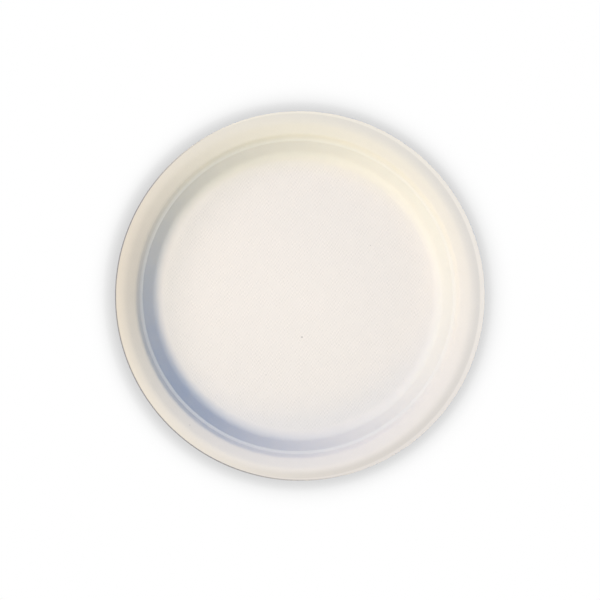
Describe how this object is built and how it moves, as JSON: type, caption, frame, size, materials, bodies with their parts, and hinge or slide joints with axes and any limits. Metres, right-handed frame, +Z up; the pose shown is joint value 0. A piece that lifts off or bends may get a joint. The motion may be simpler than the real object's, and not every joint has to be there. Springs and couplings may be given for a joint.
{
  "type": "paper plate",
  "caption": "Round disposable plate moulded in one piece from plant fibre, with a steep wall, a narrow stacking ledge and a rising rim with a flat lip.",
  "frame": {"origin": "centre of the round trimmed edge, at the level of the underside of the floor, where the plate stands on a table", "axes": "+Z up, out of the open well; +X towards the wide side of the off-centre lip; the moulded axis lies 1.4 mm towards -X"},
  "size_m": [0.228, 0.228, 0.0205],
  "materials": {
    "fibre": "matte"
  },
  "bodies": {
    "root": {"plate": "fibre"}
  },
  "joints": []
}
